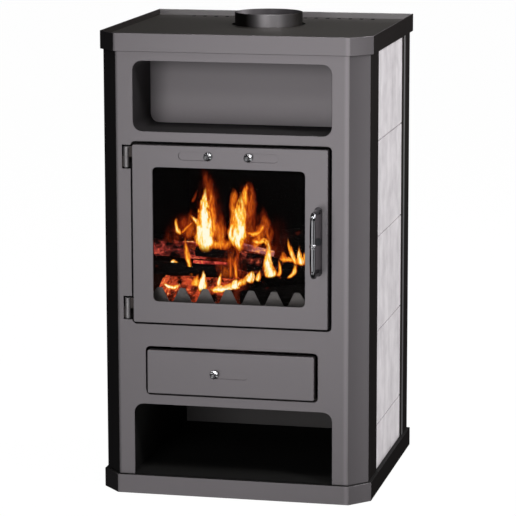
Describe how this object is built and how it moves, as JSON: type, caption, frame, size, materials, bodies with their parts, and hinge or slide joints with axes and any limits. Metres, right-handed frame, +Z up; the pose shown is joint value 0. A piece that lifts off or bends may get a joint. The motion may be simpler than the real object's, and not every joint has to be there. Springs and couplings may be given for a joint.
{
  "type": "wood stove",
  "caption": "Free-standing steel wood stove with glazed hinged door, warming niche, ash drawer, wood store, tiled sides and top flue collar.",
  "frame": {"origin": "on the floor, under the middle of the whole box, handle included", "axes": "+Z up; the door faces -Y; +X is to the right of someone who stands in front and looks at the door"},
  "size_m": [0.575, 0.5988, 0.987],
  "materials": {
    "paint_graphite": "satin heat-resistant graphite paint",
    "paint_black": "satin black paint",
    "stone_tile": "pale mottled stone-look tile, softly polished",
    "galvanised": "plain coated sheet steel",
    "black_steel": "matt black heat-resistant paint",
    "cast_iron": "rough cast",
    "firebrick": "matt fireclay, sooted",
    "ceramic_glass": "clear ceramic glass",
    "seal_rope": "braided glass fibre rope",
    "chrome": "polished"
  },
  "bodies": {
    "stove_body": {"back_panel": "galvanised", "baffle_plate": "firebrick", "drawer_housing": "black_steel", "firebox_front": "black_steel", "firebox_shell": "black_steel", "firebrick_back": "firebrick", "firebrick_left": "firebrick", "firebrick_right": "firebrick", "flue_collar": "paint_graphite", "front_panel": "paint_graphite", "front_post_left": "paint_black", "front_post_right": "paint_black", "grate": "cast_iron", "hearth_slab": "firebrick", "hinge_fixed_lower": "paint_graphite", "hinge_fixed_upper": "paint_graphite", "hinge_pin_lower": "galvanised", "hinge_pin_upper": "galvanised", "log_guard": "paint_graphite", "niche_liner": "paint_graphite", "plinth": "paint_black", "rear_post_left": "paint_black", "rear_post_right": "paint_black", "side_panel_left": "galvanised", "side_panel_right": "galvanised", "smoke_hood": "black_steel", "tile_left_1": "stone_tile", "tile_left_2": "stone_tile", "tile_left_3": "stone_tile", "tile_left_4": "stone_tile", "tile_left_5": "stone_tile", "tile_right_1": "stone_tile", "tile_right_2": "stone_tile", "tile_right_3": "stone_tile", "tile_right_4": "stone_tile", "tile_right_5": "stone_tile", "top_plate": "paint_black", "top_rim": "paint_black", "wood_store_liner": "black_steel"},
    "door": {"door_panel": "paint_graphite", "door_glass": "ceramic_glass", "glass_gasket": "seal_rope", "glass_frame": "black_steel", "door_rope_seal": "seal_rope", "hinge_door_upper": "paint_graphite", "hinge_door_lower": "paint_graphite", "air_slide_track": "black_steel"},
    "door_handle": {"door_handle": "chrome", "handle_plate": "black_steel", "latch_spindle": "black_steel", "latch_tongue": "black_steel"},
    "air_slide_left": {"air_left_slide": "paint_graphite", "air_left_knob": "chrome"},
    "air_slide_right": {"air_right_slide": "paint_graphite", "air_right_knob": "chrome"},
    "ash_drawer": {"ash_drawer_front": "paint_graphite", "ash_pan": "galvanised", "drawer_slide_track": "black_steel"},
    "drawer_air_slide": {"drawer_air_slide": "paint_graphite", "drawer_air_knob": "chrome"}
  },
  "joints": [
    {"name": "door_swing", "type": "hinge", "parent": "stove_body", "child": "door", "pos_m": [-0.2232, -0.2236, 0.55665], "axis": [0, 0, -1], "range_deg": [0, 115]},
    {"name": "handle_turn", "type": "hinge", "parent": "door", "child": "door_handle", "pos_m": [0.1836, -0.2346, 0.55415], "axis": [0, 1, 0], "range_deg": [0, 90]},
    {"name": "air_left_travel", "type": "slide", "parent": "door", "child": "air_slide_left", "axis": [-1, 0, 0], "range_m": [0, 0.054]},
    {"name": "air_right_travel", "type": "slide", "parent": "door", "child": "air_slide_right", "axis": [1, 0, 0], "range_m": [0, 0.054]},
    {"name": "drawer_travel", "type": "slide", "parent": "stove_body", "child": "ash_drawer", "axis": [0, -1, 0], "range_m": [0, 0.3]},
    {"name": "drawer_air_travel", "type": "slide", "parent": "ash_drawer", "child": "drawer_air_slide", "axis": [1, 0, 0], "range_m": [0, 0.062]}
  ]
}
